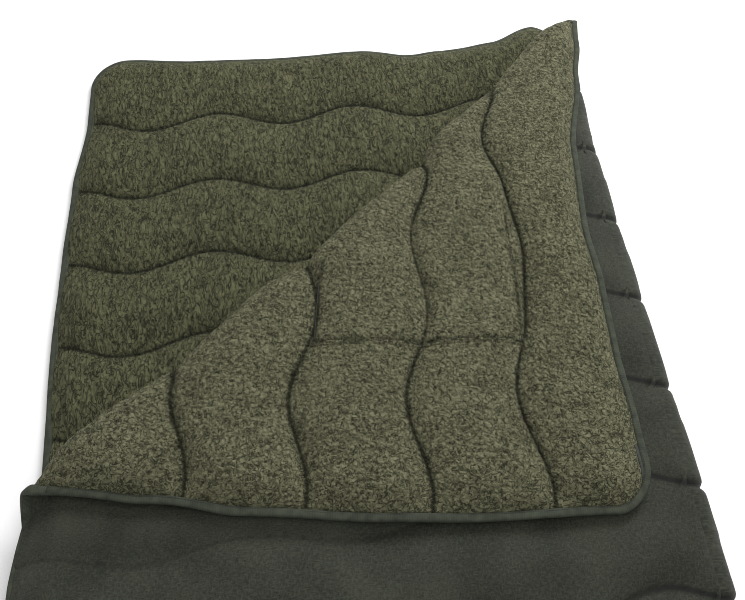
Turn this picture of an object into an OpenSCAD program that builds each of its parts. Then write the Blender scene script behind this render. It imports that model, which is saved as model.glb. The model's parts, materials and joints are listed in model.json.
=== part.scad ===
// Quilted camp blanket, fleece inside and woven shell outside, folded in half along one
// side, with one corner of the upper half turned back over it. +X runs across the blanket
// towards the folded side, +Y towards the head edge, +Z up. The origin is on the ground,
// in the middle of the folded blanket.

/* [Blanket] */
// Width of the lower half, from its free edge to the folded side
half_w = 850; // [600:5:1000]
// How far the upper half lies past the free edge of the lower half
lap = 10; // [0:1:20]
// Length from the foot edge to the head edge
length = 2100; // [1500:10:2400]
// Radius of the rounded corners
corner_r = 60; // [30:1:100]

/* [Layers] */
// Thickness of the woven shell
shell_t = 1.2; // [0.8:0.1:2]
// Loft of the wadding
wadding_t = 20.2; // [10:0.2:30]
// Thickness of the fleece lining with its pile
lining_t = 8; // [5:0.5:12]
// Air between two halves that lie on each other
ply_gap = 2.2; // [2:0.1:4]

/* [Edge] */
// Width of the bound edge
binding_w = 11; // [8:0.5:16]
// Thickness of the binding tape
tape_t = 1; // [0.5:0.1:1.5]
// Height of the edge seam over the outer face of the shell
edge_seam_z = 13; // [8:0.5:16]
// Thickness of the lining where the binding presses it flat
hem_lining_t = 3; // [2:0.5:4]

/* [Quilting] */
// Distance from the head edge to the first seam
first_seam = 147; // [80:1:200]
// Distance between seams
seam_pitch = 138; // [90:1:220]
// Least distance from the last seam to the foot edge
last_seam_margin = 80; // [60:1:140]
// Height of a seam's waves over its middle line
wave_h = 14.5; // [0:0.5:25]
// Length of one wave
wave_l = 230.5; // [150:0.5:400]
// Distance from the free edge of the lower half to the first trough
wave_start = 105; // [0:1:200]
// Width of a line of thread
thread_w = 2; // [1:0.5:4]
// Height of a line of thread
thread_h = 0.6; // [0.3:0.1:0.8]

/* [Turned corner] */
// Distance past the folded side at which the turned hinge meets the head edge's line
turn_past = 2; // [-60:1:2]
// Distance down the free edge from the head edge to the turned hinge
turn_side = 790; // [500:5:1000]
// Material that each side of a fold takes up
fold_take = 12; // [4:1:20]

/* [Pocket] */
// Distance from the free side edge to the bottom of the pocket
pocket_from_side = 212; // [100:5:300]
// Distance from the head edge to the near side of the pocket
pocket_from_head = 142; // [60:2:300]
// Width of the pocket along the free side edge
pocket_w = 316; // [150:2:320]
// Height of the pocket, from its bottom towards its mouth
pocket_h = 213; // [120:5:260]
// Thickness of the pocket panel, which lies in the pile of the lining
pocket_t = 4; // [2:0.5:4.5]
// Distance of the pocket's thread from its edge
pocket_hem = 5; // [3:1:10]

/* [Corner tape] */
// Length of the tape sewn beside the binding
tape_l = 52; // [30:1:90]
// Visible width of that tape
tape_w = 6; // [4:0.5:12]
// Its distance from the free side edge
tape_from_side = 24; // [15:1:60]
// Its thickness
tape_h = 0.8; // [0.5:0.1:1.5]

/* [Hidden] */
$fn = 64;

shell_colour = [0.19, 0.20, 0.17];
lining_colour = [0.33, 0.33, 0.26];
wadding_colour = [0.85, 0.85, 0.82];
binding_colour = [0.25, 0.27, 0.23];
thread_colour = [0.13, 0.14, 0.12];

// Gap between pieces of two bodies that meet at a fold
fold_gap = 0.4;
quilt_t = shell_t + wadding_t + lining_t;
// Outer radius of a fold, about the middle of the air gap
fold_r = quilt_t + ply_gap / 2;
upper_z = 2 * quilt_t + ply_gap;

right_x = (half_w + lap) / 2;
upper_left_x = -right_x;
lower_left_x = upper_left_x + lap;
head_y = length / 2;
foot_y = -length / 2;

// The folded side: where the flat layers end, and its hinge
side_edge_x = right_x - fold_r;
side_axis_x = side_edge_x + fold_take;
side_axis_z = quilt_t + ply_gap / 2;

// The turned fold: a point of its hinge on the head edge's line, its direction and height
turn_x = right_x + turn_past;
turn_a = atan2(turn_side, turn_x - upper_left_x);
turn_y = head_y;
turn_z = upper_z + ply_gap / 2;
far = 3 * length;

// Sections of each ply at a free edge, as boxes [inset from, inset to, z from, z to] in
// the flat quilt, with z measured from the outer face of the shell. INNER reaches all over.
INNER = -1;
tape_in = tape_t;
edge_in = binding_w + 0.5;
hem_top_z = edge_seam_z + hem_lining_t;
SHELL = [
  [edge_in, INNER, 0, shell_t],
  [edge_in, edge_in + shell_t, 0, edge_seam_z],
  [tape_in, edge_in + shell_t, edge_seam_z - shell_t, edge_seam_z]
];
LINING = [
  [edge_in, INNER, quilt_t - lining_t, quilt_t],
  [edge_in, edge_in + hem_lining_t, edge_seam_z, quilt_t],
  [tape_in, edge_in + hem_lining_t, edge_seam_z, hem_top_z]
];
WADDING = [[edge_in + hem_lining_t, INNER, shell_t, shell_t + wadding_t]];
BINDING = [
  [0, tape_in, edge_seam_z - shell_t - tape_t, hem_top_z + tape_t],
  [0, binding_w, edge_seam_z - shell_t - tape_t, edge_seam_z - shell_t],
  [0, binding_w, hem_top_z, hem_top_z + tape_t]
];
BINDING_THREAD = [
  [binding_w - 1 - thread_w, binding_w - 1, hem_top_z + tape_t, hem_top_z + tape_t + thread_h]
];

seam_count = 1 + floor((length - first_seam - last_seam_margin) / seam_pitch);
wave_step = wave_l / 10;

// Height of seam k over the ground plan at distance u across the opened blanket
function seam_y(k, u) =
  head_y - first_seam - k * seam_pitch - wave_h * cos(360 * (u - wave_start) / wave_l);
function u_lower(x) = x - lower_left_x;
function u_upper(x) = 2 * side_axis_x - x - lower_left_x;
function u_at(part, x) = part == "lower" ? u_lower(x) : u_upper(x);

// The plan outline of half a blanket with its free edge on the left, drawn in by i
module half_outline(left_x, i) {
  r = corner_r - i;
  translate([left_x + corner_r, foot_y + i])
    square([2 * half_w, length - 2 * i]);
  translate([left_x + i, foot_y + corner_r])
    square([corner_r, length - 2 * corner_r]);
  for (y = [foot_y + corner_r, head_y - corner_r])
    translate([left_x + corner_r, y])
      circle(r);
}

// Everything on the corner's side of the turned hinge, from a distance s past it
module past_turn(s) {
  translate([turn_x, turn_y])
    rotate(turn_a)
      translate([-far, s])
        square([2 * far, far]);
}

module left_of(x) {
  translate([x - far, -far])
    square([far, 2 * far]);
}

function left_edge(part) = part == "lower" ? lower_left_x : upper_left_x;

// What lies within one part of the blanket, up to its folds
module within(part) {
  if (part == "lower")
    intersection() {
      children();
      left_of(side_edge_x);
    }
  if (part == "upper")
    intersection() {
      difference() {
        children();
        past_turn(-fold_take);
      }
      left_of(side_edge_x - fold_gap);
    }
  if (part == "corner")
    intersection() {
      children();
      past_turn(fold_take + fold_gap);
      left_of(side_edge_x - fold_gap);
    }
}

// Plan outline of one part of the blanket, its free edges drawn in by i
module footprint(part, i) {
  within(part)
    half_outline(left_edge(part), i);
}

// One ply of one part, flat, with its shell side down
module ply(part, section) {
  for (s = section)
    translate([0, 0, s[2]])
      linear_extrude(s[3] - s[2])
        within(part)
          difference() {
            half_outline(left_edge(part), s[0]);
            if (s[1] != INNER)
              half_outline(left_edge(part), s[1]);
          }
}

// The same ply round the folded side
module side_ply(section, at_head = true, at_foot = true) {
  translate([side_edge_x, head_y, side_axis_z])
    rotate([90, 0, 0])
      rotate([0, 0, -90])
        rotate_extrude(angle = 180)
          translate([fold_r, 0])
            rotate(90)
              for (s = section) {
                if (s[1] == INNER)
                  translate([s[0], s[2]])
                    square([length - 2 * s[0], s[3] - s[2]]);
                if (s[1] != INNER && at_head)
                  translate([s[0], s[2]])
                    square([s[1] - s[0], s[3] - s[2]]);
                if (s[1] != INNER && at_foot)
                  translate([length - s[1], s[2]])
                    square([s[1] - s[0], s[3] - s[2]]);
              }
}

// A half tube along the turned fold, bulging towards the corner
module turn_tube(r_in, r_out) {
  translate([turn_x, turn_y, turn_z])
    rotate([0, 0, turn_a])
      translate([-far, -fold_take, 0])
        rotate([90, 0, 90])
          linear_extrude(2 * far)
            intersection() {
              difference() {
                circle(r_out);
                circle(r_in);
              }
              translate([0, -2 * r_out])
                square([2 * r_out, 4 * r_out]);
            }
}

// The same ply round the turned fold, where the shell is on the inside
module turn_ply(section) {
  for (s = section) {
    x_in = upper_left_x + s[0];
    x_out = s[1] == INNER ? side_edge_x - fold_gap : upper_left_x + s[1];
    intersection() {
      turn_tube(ply_gap / 2 + s[2], ply_gap / 2 + s[3]);
      translate([x_in, foot_y, 0])
        cube([x_out - x_in, length, 4 * quilt_t]);
    }
  }
}

// Lines of quilting thread on one face of a flat part
module quilting(part, z) {
  xs = [for (x = upper_left_x; x < right_x + wave_step; x = x + wave_step) x];
  last = len(xs) - 1;
  translate([0, 0, z])
    linear_extrude(thread_h)
      intersection() {
        footprint(part, edge_in + hem_lining_t);
        for (k = [0 : seam_count - 1])
          polygon(concat(
            [for (x = xs) [x, seam_y(k, u_at(part, x)) + thread_w / 2]],
            [for (j = [0 : last]) [xs[last - j], seam_y(k, u_at(part, xs[last - j])) - thread_w / 2]]
          ));
      }
}

// Turns flat pieces over, as the upper half lies on the lower one
module folded_over() {
  translate([0, 0, upper_z])
    mirror([0, 0, 1])
      children();
}

// Turns the corner of the upper half back over the turned hinge
module turned_back() {
  translate([turn_x, turn_y, turn_z])
    rotate(a = 180, v = [cos(turn_a), sin(turn_a), 0])
      translate([-turn_x, -turn_y, -turn_z])
        folded_over()
          children();
}

// The pocket's outline in the unturned corner, up to the turned fold
module pocket_outline() {
  intersection() {
    translate([upper_left_x + pocket_from_side, head_y - pocket_from_head - pocket_w])
      square([pocket_h, pocket_w]);
    footprint("corner", edge_in + hem_lining_t);
  }
}

// The place that the pocket takes up in the pile, and the air over it
module pocket_place() {
  translate([0, 0, quilt_t - pocket_t])
    linear_extrude(2 * pocket_t)
      pocket_outline();
}

// Thread along the pocket's bottom and sides, and none at its mouth
module pocket_seams() {
  low_x = upper_left_x + pocket_from_side + pocket_hem;
  low_y = head_y - pocket_from_head - pocket_w + pocket_hem;
  seam_w = pocket_w - 2 * pocket_hem;
  intersection() {
    union() {
      translate([low_x, low_y])
        square([thread_w, seam_w]);
      for (y = [low_y, low_y + seam_w - thread_w])
        translate([low_x, y])
          square([pocket_h - pocket_hem, thread_w]);
    }
    footprint("corner", edge_in + hem_lining_t);
  }
}

module lower_shell() { color(shell_colour) ply("lower", SHELL); }
module lower_wadding() { color(wadding_colour) ply("lower", WADDING); }
module lower_lining() { color(lining_colour) ply("lower", LINING); }
module lower_binding() { color(binding_colour) ply("lower", BINDING); }
module lower_binding_thread() { color(thread_colour) ply("lower", BINDING_THREAD); }
module lower_quilt_thread() { color(thread_colour) quilting("lower", quilt_t); }

module side_fold_shell() { color(shell_colour) side_ply(SHELL); }
module side_fold_wadding() { color(wadding_colour) side_ply(WADDING); }
module side_fold_lining() { color(lining_colour) side_ply(LINING); }
module side_fold_head_binding() { color(binding_colour) side_ply(BINDING, at_foot = false); }
module side_fold_foot_binding() { color(binding_colour) side_ply(BINDING, at_head = false); }

module upper_shell() { color(shell_colour) folded_over() ply("upper", SHELL); }
module upper_wadding() { color(wadding_colour) folded_over() ply("upper", WADDING); }
module upper_lining() { color(lining_colour) folded_over() ply("upper", LINING); }
module upper_binding() { color(binding_colour) folded_over() ply("upper", BINDING); }
module upper_binding_thread() {
  color(thread_colour) folded_over() ply("upper", BINDING_THREAD);
}
module upper_quilt_thread() {
  color(thread_colour) folded_over() quilting("upper", -thread_h);
}

module corner_fold_shell() { color(shell_colour) turn_ply(SHELL); }
module corner_fold_wadding() { color(wadding_colour) turn_ply(WADDING); }
module corner_fold_lining() { color(lining_colour) turn_ply(LINING); }
module corner_fold_binding() { color(binding_colour) turn_ply(BINDING); }

module corner_shell() { color(shell_colour) turned_back() ply("corner", SHELL); }
module corner_wadding() { color(wadding_colour) turned_back() ply("corner", WADDING); }
module corner_lining() {
  color(lining_colour)
    turned_back()
      difference() {
        ply("corner", LINING);
        pocket_place();
      }
}
module corner_binding() { color(binding_colour) turned_back() ply("corner", BINDING); }
module corner_binding_thread() {
  color(thread_colour) turned_back() ply("corner", BINDING_THREAD);
}
module corner_quilt_thread() {
  color(thread_colour)
    turned_back()
      difference() {
        quilting("corner", quilt_t);
        pocket_place();
      }
}

module pocket_panel() {
  color(lining_colour)
    turned_back()
      translate([0, 0, quilt_t - pocket_t])
        linear_extrude(pocket_t)
          pocket_outline();
}
module pocket_thread() {
  color(thread_colour)
    turned_back()
      translate([0, 0, quilt_t])
        linear_extrude(thread_h)
          pocket_seams();
}
module corner_tape() {
  color(binding_colour)
    turned_back()
      translate([upper_left_x + tape_from_side, head_y - edge_in - tape_w, quilt_t])
        cube([tape_l, tape_w, tape_h]);
}

lower_shell();
lower_wadding();
lower_lining();
lower_binding();
lower_binding_thread();
lower_quilt_thread();
side_fold_shell();
side_fold_wadding();
side_fold_lining();
side_fold_head_binding();
side_fold_foot_binding();
upper_shell();
upper_wadding();
upper_lining();
upper_binding();
upper_binding_thread();
upper_quilt_thread();
corner_fold_shell();
corner_fold_wadding();
corner_fold_lining();
corner_fold_binding();
corner_shell();
corner_wadding();
corner_lining();
corner_binding();
corner_binding_thread();
corner_quilt_thread();
pocket_panel();
pocket_thread();
corner_tape();
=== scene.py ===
import json
import math

import bpy
import numpy as np
from bpy.props import FloatProperty, FloatVectorProperty, PointerProperty
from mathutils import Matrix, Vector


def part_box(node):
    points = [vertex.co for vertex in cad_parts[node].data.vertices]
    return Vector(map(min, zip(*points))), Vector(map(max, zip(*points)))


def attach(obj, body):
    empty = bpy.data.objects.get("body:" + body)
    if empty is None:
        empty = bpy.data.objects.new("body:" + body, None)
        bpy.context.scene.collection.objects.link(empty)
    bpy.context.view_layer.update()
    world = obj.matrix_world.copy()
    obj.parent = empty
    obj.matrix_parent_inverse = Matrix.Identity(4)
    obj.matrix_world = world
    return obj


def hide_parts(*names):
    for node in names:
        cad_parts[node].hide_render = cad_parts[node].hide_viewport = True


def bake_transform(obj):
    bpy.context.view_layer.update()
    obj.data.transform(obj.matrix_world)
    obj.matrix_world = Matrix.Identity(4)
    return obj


bl_info = {
    "name": "Quilted camp blanket",
    "version": (1, 0, 0),
    "blender": (4, 5, 0),
    "location": "3D View > Sidebar > Blanket",
    "description": "Cloth, fleece, wadding, binding and thread of a folded quilted blanket",
    "category": "Object",
}

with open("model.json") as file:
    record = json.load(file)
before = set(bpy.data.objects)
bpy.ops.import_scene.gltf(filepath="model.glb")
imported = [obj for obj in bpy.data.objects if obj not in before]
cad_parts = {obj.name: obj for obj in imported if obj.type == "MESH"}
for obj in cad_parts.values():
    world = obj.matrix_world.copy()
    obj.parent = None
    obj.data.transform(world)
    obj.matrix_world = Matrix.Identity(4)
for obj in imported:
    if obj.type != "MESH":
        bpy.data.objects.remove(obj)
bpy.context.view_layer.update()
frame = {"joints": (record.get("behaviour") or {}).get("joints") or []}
JOINTS = {joint["name"]: joint for joint in frame["joints"]}

# Places on the frame. The blanket is also measured as if it were opened out flat: u runs
# across it from the free edge of the lower half, v down it from the head edge, and w
# through it from the outer face of the shell towards the fleece. SIDE_TAKE is the length
# of opened blanket that goes round a fold, at the side or at the turned corner.
LOWER_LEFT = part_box("lower_binding")[0].x
UPPER_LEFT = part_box("upper_binding")[0].x
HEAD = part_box("lower_binding")[1].y
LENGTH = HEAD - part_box("lower_binding")[0].y
SIDE_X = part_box("side_fold_shell")[0].x
SIDE_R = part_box("side_fold_shell")[1].x - SIDE_X
SIDE_Z = JOINTS["side_fold"]["pos_m"][2]
SIDE_TAKE = 2 * (JOINTS["side_fold"]["pos_m"][0] - SIDE_X)
TURN_X, TURN_Y, TURN_Z = JOINTS["corner_fold"]["pos_m"]
TURN_COS, TURN_SIN = (-c for c in JOINTS["corner_fold"]["axis"][:2])
TURN_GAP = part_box("corner_shell")[0].z - TURN_Z
U_LOWER = SIDE_X - LOWER_LEFT
U_UPPER = U_LOWER + SIDE_TAKE
U_END = U_UPPER + SIDE_X - UPPER_LEFT

# Counts of seams, and sizes of the cloth, its hems and the thread, in metres
SEAMS = 14
CORNER_SEAMS = 6
CLOTH_INSET = 0.001
WADDING_INSET = 0.016
EDGE_MIDDLE = 0.0135
THREAD_ACROSS, THREAD_HIGH = 0.0008, 0.0006
# The shell, wadding and fleece of the turned fold have the same rows
TURN_ROWS = 33


def linear(code):
    """An sRGB hex colour as linear red, green, blue and alpha."""
    parts = np.array([int(code[k:k + 2], 16) / 255 for k in (1, 3, 5)])
    parts = np.where(parts <= 0.04045, parts / 12.92, ((parts + 0.055) / 1.055) ** 2.4)
    return (*(float(p) for p in parts), 1.0)


def length_property(name, description, millimetres):
    """A length that a user can change, given in millimetres and kept in metres."""
    return FloatProperty(
        name=name, description=description, default=millimetres / 1000,
        unit="LENGTH", subtype="DISTANCE", min=0.0,
    )


def colour_property(name, description, code):
    """A colour that a user can change, given as an sRGB hex value."""
    return FloatVectorProperty(
        name=name, description=description, default=linear(code),
        subtype="COLOR", size=4, min=0.0, max=1.0,
    )


class BlanketSizes(bpy.types.PropertyGroup):
    """Sizes of the quilting and of the cloth, in metres."""
    corner: length_property("Corner", "Radius of the rounded corners", 60)
    first_seam: length_property("First seam", "From the head edge to the first seam", 147)
    seam_pitch: length_property("Seam pitch", "Distance between seams", 138)
    wave_height: length_property("Wave height", "Height of a seam's waves", 14.5)
    wave_length: length_property("Wave length", "Length of one wave of a seam", 230.5)
    wave_start: length_property("Wave start", "From the free edge to the first trough", 105)
    shell: length_property("Shell", "Thickness of the woven shell", 1.2)
    fleece: length_property("Fleece", "Thickness of the fleece with its pile", 8)
    binding: length_property("Binding", "Width of the binding", 11)
    binding_height: length_property("Binding height", "Height of the bound edge", 8)
    stitch: length_property("Stitch", "Length of one stitch of the binding", 3.8)
    nub: length_property("Nub", "Distance between the nubs of the fleece", 6.6)
    nub_height: length_property("Nub height", "Height of the nubs of the fleece", 2.6)


class BlanketColours(bpy.types.PropertyGroup):
    """Colours of the materials."""
    shell: colour_property("Shell", "Woven polyester outside", "#22241D")
    shell_slub: colour_property("Shell slub", "Lighter threads in the shell", "#3B3E33")
    # The deep colours are painted shade in the gaps between the nubs, and the tip colours a painted
    # highlight on the nubs
    fleece_gap_shade: colour_property("Fleece, deep", "Between the nubs of the pile", "#1D1D0F")
    fleece: colour_property("Fleece", "Body of the pile", "#4A4A38")
    fleece_lit_tip: colour_property("Fleece, tips", "Tips of the pile", "#7B7A60")
    # The lying colours are the fleece's own colours drawn darker, a painted shade where the pile lies
    # down
    lying_gap_shade: colour_property("Lying fleece, deep", "Between nubs that lie down", "#17170E")
    lying: colour_property("Lying fleece", "Body of the pile that lies down", "#3C3D2C")
    lying_lit_tip: colour_property("Lying fleece, tips", "Tips of pile that lies down", "#616248")
    binding: colour_property("Binding", "Knitted binding tape", "#2C3028")
    thread: colour_property("Thread", "Sewing thread", "#141611")
    wadding: colour_property("Wadding", "Polyester wadding", "#DAD9D2")
    tape: colour_property("Corner tape", "Satin tape beside the binding", "#1C1F1B")
    floor: colour_property("Floor", "Pale studio floor", "#FFFFFF")


def sizes():
    """The scene's own blanket sizes."""
    return bpy.context.scene.blanket_sizes


def colours():
    """The scene's own blanket colours."""
    return bpy.context.scene.blanket_colours


# ---- Numbers that vary from place to place ----

def past_turn(x, y):
    """Distance of a place in plan past the turned line, towards the corner."""
    return -(x - TURN_X) * TURN_SIN + (y - TURN_Y) * TURN_COS


def beside_turn(x, y):
    """Distance of a place in plan along the turned line, from the place of its joint."""
    return (x - TURN_X) * TURN_COS + (y - TURN_Y) * TURN_SIN


def turn_line(x, past):
    """y of the line that runs beside the turned line at a distance past it."""
    return TURN_Y + ((x - TURN_X) * TURN_SIN + past) / TURN_COS


def smooth(x):
    """0 below 0, 1 above 1, and 3x^2 - 2x^3 between them."""
    x = np.clip(x, 0.0, 1.0)
    return x * x * (3 - 2 * x)


def along(x, places, values):
    """Values given in millimetres at places along x, eased from each one to the next."""
    at = np.interp(x, places, np.arange(len(places)))
    low = np.minimum(at.astype(int), len(places) - 2)
    values = np.asarray(values, float) / 1000
    return values[low] + (values[low + 1] - values[low]) * smooth(at - low)


def scatter(i, j, seed):
    """A fixed number from 0 to 1 for each whole-number pair, the fraction of a large sine."""
    value = np.sin(i * 127.1 + j * 311.7 + seed * 74.7) * 43758.5453
    return value - np.floor(value)


def drift(x, y, seed):
    """Even noise from -1 to 1: scattered values at whole numbers, eased between them."""
    i, j = np.floor(x), np.floor(y)
    fx, fy = smooth(x - i), smooth(y - j)
    low = scatter(i, j, seed) * (1 - fx) + scatter(i + 1, j, seed) * fx
    high = scatter(i, j + 1, seed) * (1 - fx) + scatter(i + 1, j + 1, seed) * fx
    return 2 * (low * (1 - fy) + high * fy) - 1


def nubs(x, y, seed):
    """Domes 0 to 1: one point is scattered in each unit cell, and the height falls with the
    distance to the nearest point as the square root of 1 - (distance / 0.72)^2."""
    i, j = np.floor(x), np.floor(y)
    nearest = np.full(np.shape(x), 9.0)
    height = np.zeros(np.shape(x))
    for di in (-1, 0, 1):
        for dj in (-1, 0, 1):
            a, b = i + di, j + dj
            px = a + 0.15 + 0.7 * scatter(a, b, seed)
            py = b + 0.15 + 0.7 * scatter(a, b, seed + 1)
            far = np.hypot(x - px, y - py)
            closer = far < nearest
            nearest = np.where(closer, far, nearest)
            height = np.where(closer, 0.65 + 0.35 * scatter(a, b, seed + 2), height)
    return height * np.sqrt(np.clip(1 - (nearest / 0.72) ** 2, 0, 1))


# ---- The quilt, opened out flat ----

def edge_gap(u, v):
    """Distance in from the free edge of the opened blanket, a rectangle with round corners."""
    r = sizes().corner
    across = np.abs(u - U_END / 2) - (U_END / 2 - r)
    down = np.abs(v - LENGTH / 2) - (LENGTH / 2 - r)
    outside = np.hypot(np.maximum(across, 0), np.maximum(down, 0))
    return r - outside - np.minimum(np.maximum(across, down), 0)


def crept(u, v):
    """v with the creep of the seams taken off, which grows towards the turned half's free edge
    and is gathered near the point where the turned fold ends."""
    down = along(v, [0.0, 0.155, 0.31, 0.46, 0.61, 0.79, 0.87, 1.0, 1.2],
                 [0, 6, 26, 42, 52, 88, 20, 10, 0])
    gather = (0.050 * np.exp(-((u - 1.11) / 0.07) ** 2 - ((v - 0.18) / 0.10) ** 2)
              - 0.044 * np.exp(-((u - 1.28) / 0.08) ** 2 - ((v - 0.12) / 0.10) ** 2))
    return v - down * smooth((u - 0.9) / 0.45) - gather


def lagged(u):
    """u with the slip of the waves on the turned half taken off."""
    return u - 0.04 * smooth((u - 1.2) / 0.25)


def seam_row(u, v):
    """Number of the seam at v, with parts between: the seams are cosine waves along u."""
    s = sizes()
    wave = s.wave_height * np.cos(2 * math.pi * (lagged(u) - s.wave_start) / s.wave_length)
    return (crept(u, v) - s.first_seam - wave) / s.seam_pitch


def seam_line(row, u):
    """v of one seam at each u, closed in on from its even place."""
    v = sizes().first_seam + row * sizes().seam_pitch + 0 * u
    for _ in range(12):
        v = v - 0.7 * (seam_row(u, v) - row) * sizes().seam_pitch
    return v


def seam_gap(u, v):
    """Distance to the nearest seam."""
    row = seam_row(u, v)
    return np.abs(row - np.clip(np.rint(row), 0, SEAMS - 1)) * sizes().seam_pitch


def swell(u, v):
    """How far the quilt has swelled, 0 to 1, away from the free edge and from the seams: each
    is (1 - (1 - distance / reach)^2) to a power, as filled channels swell."""
    free = (1 - (1 - np.clip(edge_gap(u, v) / 0.055, 0, 1)) ** 2) ** 0.7
    row = (1 - (1 - np.clip(seam_gap(u, v) / 0.069, 0, 1)) ** 2) ** 0.65
    return free, row


def shell_face(u, v, reach=0.0045):
    """w of the outer face of the shell: about 0 at a crown, deeper at seams and hems, with
    short puckers across each seam and longer creases near the folded side. The grooves round
    that side fall off as e^-(distance / reach)^2."""
    free = (1 - (1 - np.clip((edge_gap(u, v) - 0.0095) / 0.05, 0, 1)) ** 2) ** 0.7
    row = swell(u, v)[1]
    near = np.exp(-((seam_gap(u, v) - 0.012) / 0.018) ** 2)
    pucker = 0.0013 * near * drift(u / 0.021, v / 0.06, 11)
    side = np.exp(-((u - (U_LOWER + U_UPPER) / 2) / 0.028) ** 2)
    crease = 0.0040 * side * row * np.maximum(drift(u / 0.11, v / 0.034, 17) - 0.35, 0)
    soft = 0.0014 * row * (1 + drift(u / 0.13, v / 0.09, 23)) * free
    groove = 0.0055 * side * np.exp(-(seam_gap(u, v) / reach) ** 2)
    pinch = 0.0085 * (1 - side) * (1 - row) + 0.0025 * side * (1 - row) + groove
    cover = smooth((v - 0.84) / 0.09) * smooth((u - U_LOWER) / SIDE_TAKE)
    puff = 0.0065 * cover * (1 - side) * row
    return 0.0105 * (1 - free) + (pinch + soft + pucker - puff) * free + crease


def fleece_face(u, v):
    """w of the fleece before its nubs: high at a crown, low at seams and hems, with slow lumps.
    The crowns are up to 4 mm fuller on the turned corner."""
    hem = np.where(u < U_LOWER + SIDE_TAKE / 2, 0.004, 0.0095)
    free = (1 - (1 - np.clip((edge_gap(u, v) - hem) / 0.045, 0, 1)) ** 2) ** 0.6
    row = swell(u, v)[1]
    soft = 0.0013 * drift(u / 0.075, v / 0.055, 31) + 0.0009 * drift(u / 0.03, v / 0.026, 37)
    past = past_turn(SIDE_X + U_UPPER - u, HEAD - v)
    puff = 0.004 * smooth((past + 0.01) / 0.03) * (u > U_LOWER)
    return 0.0125 + free * (0.0155 * (0.05 + 0.95 * row) + (soft + puff) * row)


def fleece_back(u, v):
    """w of the back of the fleece: the full pile at a crown, 3 mm at a seam and 1 mm at a hem."""
    free, row = swell(u, v)
    thin = 0.001 + 0.002 * smooth((edge_gap(u, v) - 0.008) / 0.006)
    return fleece_face(u, v) - (thin + (sizes().fleece - 0.003) * free * np.sqrt(row))


def soft_floor(z, floor, ease=0.002):
    """z, but pressed flat over a floor: floor + ease e^((z - floor - ease) / ease) near it."""
    pressed = floor + ease * np.exp(np.minimum(z - floor - ease, 0) / ease)
    return np.where(z > floor + ease, z, pressed)


def settle(x, y, part):
    """Moves points in plan as the blanket lies: its sides and folds aren't quite straight."""
    side = along(y, [0.0, 0.3, 0.6, 0.8, 0.9, 0.98, 1.05], [-9, -9, -11, -9, -3, 6, 14])
    x = x + side * smooth((x - 0.12) / 0.28)
    if part == "lower":
        left = along(y, [0.3, 0.5, 0.65, 0.78, 0.92, 1.05], [-11, -16, -13, -8, 7, 8])
        x = x + left * smooth((0.05 - x) / 0.45)
        top = along(x, [-0.43, -0.36, -0.22, -0.09, 0.06, 0.15, 0.2, 0.3, 0.38, 0.4],
                    [10, 14, 3, 0, 7, -9, -3, 8, 38, 30])
        y = y + top * smooth((y - 0.85) / 0.2)
    return x, y


def bow(x, y, turned):
    """The turned fold sags towards the folded side, and its sides aren't straight. turned is 1
    on the turned corner and 0 on the rest of the upper half."""
    s, t = past_turn(x, y), beside_turn(x, y)
    sag = along(t, [-1.17, -0.95, -0.8, -0.62, -0.5, -0.33, -0.2, -0.07, 0.0],
                [-4, -6, -16, -27, -30, -18, -9, 0, 3])
    sag = sag * np.exp(-(s / 0.22) ** 2)
    x, y = x - sag * TURN_SIN, y + sag * TURN_COS
    right = along(y, [0.2, 0.29, 0.4, 0.5, 0.6, 0.74, 0.9, 1.02],
                  [-6, -12, -20, -22, -31, -29, -15, 0])
    foot = along(x, [-0.42, -0.35, -0.28, -0.17, 0.0, 0.1, 0.3, 0.36],
                 [24, 14, 1, -17, -26, -28, -20, -10])
    x = x + right * smooth((x - 0.05) / 0.3) * turned
    y = y + foot * smooth((0.5 - y) / 0.28) * turned
    cover = along(y, [0.16, 0.32], [-21, -3])
    return x + cover * smooth((-0.2 - x) / 0.2) * (1 - turned), y


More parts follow.
